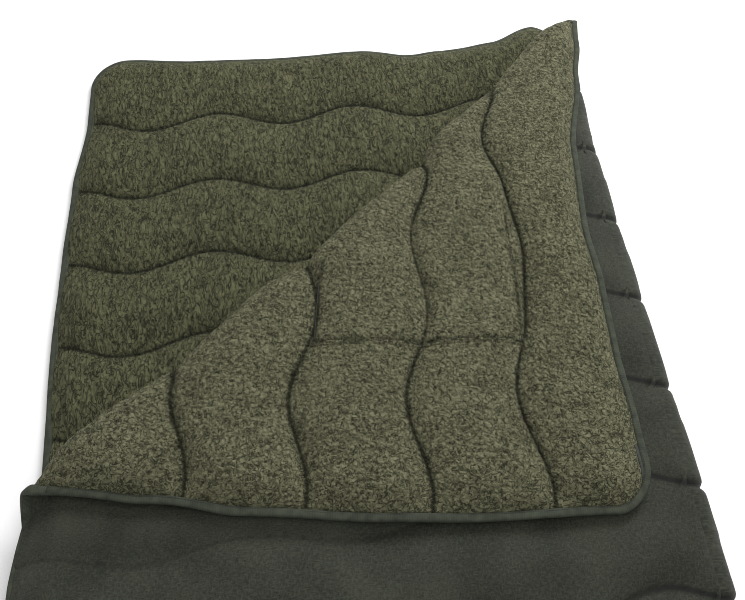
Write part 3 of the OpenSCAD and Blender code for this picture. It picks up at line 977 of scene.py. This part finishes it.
class BLANKET_OT_shell(bpy.types.Operator):
    """Make the woven shell: two flat halves, the turned corner, and the cloth round both folds"""
    bl_idname = "blanket.shell"
    bl_label = "Shell"

    def execute(self, context):
        cloth = shell_material()
        t = sizes().shell
        for part, body, columns, count in (("lower", "lower_half", 105, 261),
                                           ("upper", "upper_half", 81, 661)):
            rows = np.linspace(0, 1, count)
            grid = half_grid(part, CLOTH_INSET, columns, rows)
            w = shell_face(*grid)
            name = part + "_shell_cloth"
            piece = cloth_piece(name, grid, w, w + t, part, cloth, 2)
            finish_piece(piece, "shell_cloth", part + "_shell")
            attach(piece, body)
        grid = side_grid(25, 641, CLOTH_INSET)
        w = shell_face(*grid)
        piece = cloth_piece("side_fold_shell_cloth", grid, w, w + t, "side", cloth, 2)
        finish_piece(piece, "shell_cloth", "side_fold_shell")
        side_blend(piece)
        half = SIDE_TAKE / 2
        grid = turned_grid(np.linspace(-half, half, TURN_ROWS), 161, CLOTH_INSET)
        w = shell_face(*grid)
        piece = cloth_piece("corner_fold_shell_cloth", grid, w, w + t, "upper", cloth)
        finish_piece(piece, "shell_cloth", "corner_fold_shell")
        turned_blend(piece)
        past = np.linspace(half, corner_reach(CLOTH_INSET), 81)
        grid = turned_grid(past, 161, CLOTH_INSET)
        w = shell_face(*grid)
        piece = cloth_piece("corner_shell_cloth", grid, w, w + t, "upper", cloth, 2)
        finish_piece(piece, "shell_cloth", "corner_shell")
        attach(piece, "turned_corner")
        return {"FINISHED"}


class BLANKET_OT_wadding(bpy.types.Operator):
    """Make the wadding between the shell and the fleece, thin at the seams and full between"""
    bl_idname = "blanket.wadding"
    bl_label = "Wadding"

    def execute(self, context):
        web = wadding_material()
        under = sizes().shell + 0.0016
        half = SIDE_TAKE / 2
        inset = WADDING_INSET
        # Wider grooves than the shell's own keep the wadding clear of it round the side
        groove = 0.016
        across = np.linspace(-half, half, TURN_ROWS)
        past = np.linspace(half, corner_reach(inset), 61)
        # The wadding of the turned fold stops well short of the fold's two ends
        grids = {
            "lower": ("lower", half_grid("lower", inset, 81, np.linspace(0, 1, 241))),
            "side_fold": ("side", side_grid(17, 241, inset)),
            "upper": ("upper", half_grid("upper", inset, 81, np.linspace(0, 1, 321))),
            "corner_fold": ("upper", turned_grid(across, 121, 0.045)),
            "corner": ("upper", turned_grid(past, 121, inset)),
        }
        bodies = {"lower": "lower_half", "upper": "upper_half", "corner": "turned_corner"}
        for name, (part, grid) in grids.items():
            low = shell_face(*grid, reach=groove) + under - (0.001 if part == "side" else 0)
            high = np.maximum(fleece_back(*grid) - 0.0006, low + 0.0006)
            piece = cloth_piece(name + "_wadding_web", grid, high, low, part, web)
            finish_piece(piece, "wadding", name + "_wadding")
            if name == "side_fold":
                side_blend(piece)
            elif name == "corner_fold":
                turned_blend(piece)
            else:
                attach(piece, bodies[name])
        return {"FINISHED"}


def pile_height(u, v, wander):
    """0 to 1: large nubs, wandering a little across, and small ones 0.55 of their size."""
    nub = sizes().nub
    large = nubs(u / nub + wander * drift(u / 0.02, v / 0.02, 61), v / nub, 67)
    small = nubs(u / (0.55 * nub), v / (0.55 * nub), 71)
    return np.clip(0.72 * large + 0.28 * small, 0, 1)


def fleece_piece(name, part, grid, material, step, amount=1.0):
    """A sheet of fleece: its face has nubs, lower where a seam presses the pile down, and its pile is
    drawn darker along each seam, a painted shade.
    """
    u, v = grid
    free, row = swell(u, v)
    pile = pile_height(u, v, 0.25)
    room = (0.35 + 0.65 * np.clip(row * 1.3, 0, 1)) * (0.5 + 0.5 * free)
    front = fleece_face(u, v) + amount * sizes().nub_height * (pile - 0.4) * room
    # Painted shade: the pile is drawn darker within about 3 mm of each seam, where its crease lies in
    # shade
    pile = pile - 1.3 * np.exp(-(seam_gap(u, v) / 0.0032) ** 2)
    return cloth_piece(name, grid, front, fleece_back(u, v), part, material, step, pile)


class BLANKET_OT_fleece(bpy.types.Operator):
    """Make the fleece lining: two flat halves, the turned corner, and round both folds"""
    bl_idname = "blanket.fleece"
    bl_label = "Fleece lining"

    def execute(self, context):
        upright = fleece_material("Sherpa fleece, olive, pile up", False)
        # The lying fleece is drawn in the darker lying colours, a painted shade
        lying = fleece_material("Sherpa fleece, olive, pile lying, painted shade", True)
        half = SIDE_TAKE / 2
        # Rows are closer together over the head part, which the turned corner lays open
        down = np.concatenate([np.arange(0, 0.87, 0.0036), np.arange(0.87, LENGTH, 0.012)])
        rows = np.interp(np.linspace(0, 1, 4 * 85 + 1), np.linspace(0, 1, len(down)), down)
        rows = (rows - rows[0]) / (rows[-1] - rows[0])
        grid = half_grid("lower", CLOTH_INSET, 4 * 57 + 1, rows)
        piece = fleece_piece("lower_fleece", "lower", grid, lying, 4, 0.7)
        finish_piece(piece, "fleece_lining", "lower_lining")
        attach(piece, "lower_half")
        grid = side_grid(17, 301, CLOTH_INSET)
        piece = fleece_piece("side_fold_fleece", "side", grid, lying, 2, 0.3)
        finish_piece(piece, "fleece_lining", "side_fold_lining")
        side_blend(piece)
        grid = half_grid("upper", CLOTH_INSET, 2 * 52 + 1, np.linspace(0, 1, 2 * 90 + 1))
        piece = fleece_piece("upper_fleece", "upper", grid, lying, 2, 0.5)
        finish_piece(piece, "fleece_lining", "upper_lining")
        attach(piece, "upper_half")
        grid = turned_grid(np.linspace(-half, half, TURN_ROWS), 4 * 96 + 1, CLOTH_INSET)
        piece = fleece_piece("corner_fold_fleece", "upper", grid, upright, 4)
        finish_piece(piece, "fleece_lining", "corner_fold_lining")
        turned_blend(piece)
        past = np.linspace(half, corner_reach(CLOTH_INSET), 4 * 46 + 1)
        grid = turned_grid(past, 4 * 96 + 1, CLOTH_INSET)
        piece = fleece_piece("corner_fleece", "upper", grid, upright, 4)
        finish_piece(piece, "fleece_lining", "corner_lining")
        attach(piece, "turned_corner")
        return {"FINISHED"}


class BLANKET_OT_binding(bpy.types.Operator):
    """Bind the free edges, and sew the binding down with a row of stitches"""
    bl_idname = "blanket.binding"
    bl_label = "Binding"

    def execute(self, context):
        tape, thread = binding_material(), thread_material()
        lower_foot, upper_foot, fold, tip = edge_marks()
        past = fold + (SIDE_TAKE + 0.010) / TURN_COS
        before = fold - 0.006
        runs = {
            "lower_binding": (0.0, lower_foot, "lower", "lower_half"),
            "side_fold_foot_binding": (lower_foot, upper_foot, "side", None),
            "upper_binding": (upper_foot, before, "upper", "upper_half"),
            "corner_fold_binding": (before, past, "upper", None),
            "corner_binding": (past, tip + 0.013, "upper", "turned_corner"),
            "side_fold_head_binding": (tip - 0.03, tip + SIDE_TAKE, "side", None),
        }
        for name, (start, stop, part, body) in runs.items():
            gap = 0.0015 if body is None else 0.008
            piece = binding_piece(name + "_tape", start, stop, part, tape, gap)
            finish_piece(piece, "binding_tape", name)
            if body:
                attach(piece, body)
                sewn = binding_stitches(name + "_stitches", start, stop, part, thread)
                finish_piece(sewn, "sewing_thread", name + "_thread")
                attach(sewn, body)
            elif part == "side":
                side_blend(piece)
            else:
                turned_blend(piece)
        return {"FINISHED"}


def lower_span(row):
    """u between which every seam runs on the lower half, from the binding to the folded side."""
    return 0.012, U_LOWER


def upper_span(row, side):
    """u between which a seam lies flat beyond the turned fold, on the turned corner with side
    1 and on the rest of the upper half with side -1."""
    u = np.linspace(U_UPPER, U_END - 0.012, 400)
    past = past_turn(SIDE_X + U_UPPER - u, HEAD - seam_line(row, u))
    inside = u[side * past > SIDE_TAKE / 2 + 0.001]
    return (inside[0], inside[-1]) if len(inside) else (0, 0)


def corner_span(row):
    """u between which a seam lies on the turned corner."""
    return upper_span(row, 1)


def cover_span(row):
    """u between which a seam lies on the flat of the upper half."""
    return upper_span(row, -1)


class BLANKET_OT_quilting(bpy.types.Operator):
    """Sew the wavy rows of quilting on the lower half, the upper half and the turned corner"""
    bl_idname = "blanket.quilting"
    bl_label = "Quilting thread"

    def execute(self, context):
        thread = thread_material()
        piece = seam_threads("lower_quilt_stitching", "lower", range(SEAMS), fleece_face,
                             lower_span, thread, -0.0006)
        finish_piece(piece, "sewing_thread", "lower_quilt_thread")
        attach(piece, "lower_half")
        piece = seam_threads("upper_quilt_stitching", "upper", range(SEAMS), shell_face,
                             cover_span, thread, -0.0001)
        finish_piece(piece, "sewing_thread", "upper_quilt_thread")
        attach(piece, "upper_half")
        piece = seam_threads("corner_quilt_stitching", "upper", range(CORNER_SEAMS), fleece_face,
                             corner_span, thread, -0.0006)
        finish_piece(piece, "sewing_thread", "corner_quilt_thread")
        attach(piece, "turned_corner")
        return {"FINISHED"}


# The pocket in the opened blanket: its bottom and mouth, measured from the free side edge, and
# its two sides, measured from the head edge. Its thread runs at POCKET_HEM inside them.
POCKET_BOTTOM, POCKET_MOUTH = 0.212, 0.425
POCKET_NEAR, POCKET_FAR = 0.142, 0.458
POCKET_HEM = 0.006


def pocket_grid(columns, rows):
    """u and v over the pocket, from its bottom to its mouth, cut off at the turned fold."""
    u = np.linspace(U_END - POCKET_BOTTOM, U_END - POCKET_MOUTH, columns)[:, None]
    line = turn_line(SIDE_X + U_UPPER - u, SIDE_TAKE / 2 + 0.002)
    far = np.minimum(POCKET_FAR, HEAD - line)
    v = POCKET_NEAR + (far - POCKET_NEAR) * np.linspace(0, 1, rows)[None, :]
    return np.broadcast_to(u, v.shape), v


def pocket_gap(u, v):
    """Distance in from the bottom and the two sides of the pocket."""
    gap = np.minimum(U_END - POCKET_BOTTOM - u, v - POCKET_NEAR)
    return np.minimum(gap, POCKET_FAR - v)


def pocket_face(u, v):
    """w of the pocket's face: the fleece's own face raised 3.4 mm, rounded down at its edges and
    pressed in along its thread."""
    gap = pocket_gap(u, v)
    raised = 0.0034 * smooth((gap + 0.001) / 0.005)
    groove = 0.0036 * np.exp(-((gap - POCKET_HEM) / 0.0034) ** 2)
    return fleece_face(u, v) + raised - groove


class BLANKET_OT_pocket(bpy.types.Operator):
    """Make the fleece pocket on the turned corner and sew its bottom and sides"""
    bl_idname = "blanket.pocket"
    bl_label = "Pocket"

    def execute(self, context):
        grid = pocket_grid(4 * 20 + 1, 4 * 24 + 1)
        u, v = grid
        pile = pile_height(u, v, 0.0)
        front = pocket_face(u, v) + sizes().nub_height * (pile - 0.4) * 0.9
        back = fleece_face(u, v) - 0.0035
        # Painted shade: the pile is drawn darker along the pocket's thread, where its groove lies in
        # shade
        pile = pile - 1.2 * np.exp(-((pocket_gap(u, v) - POCKET_HEM) / 0.003) ** 2)
        upright = fleece_material("Sherpa fleece, olive, pile up", False)
        piece = cloth_piece("pocket_fleece", grid, front, back, "upper", upright, 4, pile)
        finish_piece(piece, "fleece_lining", "pocket_panel")
        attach(piece, "turned_corner")
        low = U_END - POCKET_BOTTOM - POCKET_HEM
        near, far = POCKET_NEAR + POCKET_HEM, POCKET_FAR - POCKET_HEM
        side = spaced(low, U_END - POCKET_MOUTH, 0.004)
        foot = spaced(near, far, 0.004)
        path_u = np.concatenate([side[::-1], np.full(len(foot) - 2, low), side])
        path_v = np.concatenate([np.full(len(side), near), foot[1:-1], np.full(len(side), far)])
        kept = past_turn(SIDE_X + U_UPPER - path_u, HEAD - path_v) > SIDE_TAKE / 2 + 0.004
        path_u, path_v = path_u[kept][:, None], path_v[kept][:, None]
        angle = np.linspace(0, 2 * math.pi, 6, endpoint=False)[None, :]
        du, dv = np.gradient(path_u[:, 0]), np.gradient(path_v[:, 0])
        size = np.hypot(du, dv)
        du, dv = (du / size)[:, None], (dv / size)[:, None]
        across = THREAD_ACROSS * np.cos(angle)
        w = pocket_face(path_u, path_v) + 0.0002 + THREAD_HIGH * np.sin(angle)
        ring = lay(path_u - dv * across, path_v + du * across, w, "upper")
        points = ring.reshape(-1, 3)
        faces = facing_out(points, tube_faces(len(path_u), 6))
        sewn = make_piece("pocket_stitching", points, faces, thread_material())
        finish_piece(sewn, "sewing_thread", "pocket_thread")
        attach(sewn, "turned_corner")
        return {"FINISHED"}


class BLANKET_OT_tape(bpy.types.Operator):
    """Sew the short dark tape beside the binding at the turned corner"""
    bl_idname = "blanket.tape"
    bl_label = "Corner tape"

    def execute(self, context):
        u = np.linspace(U_END - 0.076, U_END - 0.024, 27)[:, None]
        v = np.linspace(0.0115, 0.0185, 9)[None, :]
        u, v = np.broadcast_arrays(u, v)
        lift = 0.0012 * np.sin(np.linspace(0, math.pi, 9))[None, :]
        face = fleece_face(u, v) + 0.0012 + lift
        piece = cloth_piece("corner_tape_strip", (u, v), face, face - 0.0009, "upper",
                            tape_material())
        finish_piece(piece, "corner_tape", "corner_tape")
        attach(piece, "turned_corner")
        return {"FINISHED"}


class BLANKET_OT_stage(bpy.types.Operator):
    """Lay the pale floor, light the studio softly and set up the camera"""
    bl_idname = "blanket.stage"
    bl_label = "Stage"

    def execute(self, context):
        scene = context.scene
        reach, below = 9.0, -0.0005
        floor_points = np.array([(-reach, -reach, below), (reach, -reach, below),
                                 (reach, reach, below), (-reach, reach, below)])
        paint, _, surface, _ = new_material("Matt white studio paper")
        surface.inputs["Base Color"].default_value = colours().floor
        surface.inputs["Roughness"].default_value = 1.0
        surface.inputs["Specular IOR Level"].default_value = 0.0
        floor = make_piece("studio_floor", floor_points, [np.array([[0, 1, 2, 3]])], paint)
        world = bpy.data.worlds.new("Soft studio")
        world.use_nodes = True
        sky = world.node_tree.nodes["Background"]
        sky.inputs["Color"].default_value = (1, 1, 1, 1)
        sky.inputs["Strength"].default_value = 0.5
        scene.world = world
        for name, place, size, power in (
            ("soft_box_head", (1.3, 2.3, 1.7), 1.4, 70.0),
            ("soft_box_over", (0.3, -0.2, 3.0), 2.6, 29.0),
        ):
            light = bpy.data.lights.new(name, "AREA")
            light.energy, light.size = power, size
            lamp = bpy.data.objects.new(name, light)
            scene.collection.objects.link(lamp)
            lamp.location = place
            # Each lamp faces a place half a metre towards the head from the middle
            away = Vector((place[0], place[1] - 0.5, place[2]))
            lamp.rotation_euler = away.to_track_quat("Z", "Y").to_euler()
        camera = bpy.data.cameras.new("camera")
        camera.sensor_width = 36.0
        camera.lens = 38.66
        camera.clip_end = 60.0
        holder = bpy.data.objects.new("camera", camera)
        scene.collection.objects.link(holder)
        holder.location = (-0.068, -0.045, 1.039)
        holder.rotation_euler = tuple(math.radians(a) for a in (29.8, -1.8, -6.1))
        scene.camera = holder
        scene.view_settings.view_transform = "Standard"
        scene.cycles.filter_width = 1.0
        return {"FINISHED"}


class BLANKET_PT_sidebar(bpy.types.Panel):
    """The blanket's sizes and colours, and a button for each group of pieces"""
    bl_idname = "BLANKET_PT_sidebar"
    bl_label = "Quilted blanket"
    bl_space_type = "VIEW_3D"
    bl_region_type = "UI"
    bl_category = "Blanket"

    def draw(self, context):
        for group in (context.scene.blanket_sizes, context.scene.blanket_colours):
            box = self.layout.box()
            for key in group.__annotations__:
                box.prop(group, key)
        for operator in STEPS:
            self.layout.operator(operator.bl_idname)


STEPS = (
    BLANKET_OT_shell, BLANKET_OT_wadding, BLANKET_OT_fleece, BLANKET_OT_binding,
    BLANKET_OT_quilting, BLANKET_OT_pocket, BLANKET_OT_tape, BLANKET_OT_stage,
)
CLASSES = (BlanketSizes, BlanketColours, *STEPS, BLANKET_PT_sidebar)


def register():
    for item in CLASSES:
        bpy.utils.register_class(item)
    bpy.types.Scene.blanket_sizes = PointerProperty(type=BlanketSizes)
    bpy.types.Scene.blanket_colours = PointerProperty(type=BlanketColours)


def unregister():
    del bpy.types.Scene.blanket_colours
    del bpy.types.Scene.blanket_sizes
    for item in reversed(CLASSES):
        bpy.utils.unregister_class(item)


def main():
    register()
    bpy.ops.blanket.shell()
    bpy.ops.blanket.wadding()
    bpy.ops.blanket.fleece()
    bpy.ops.blanket.binding()
    bpy.ops.blanket.quilting()
    bpy.ops.blanket.pocket()
    bpy.ops.blanket.tape()
    bpy.ops.blanket.stage()


if __name__ == "__main__":
    main()
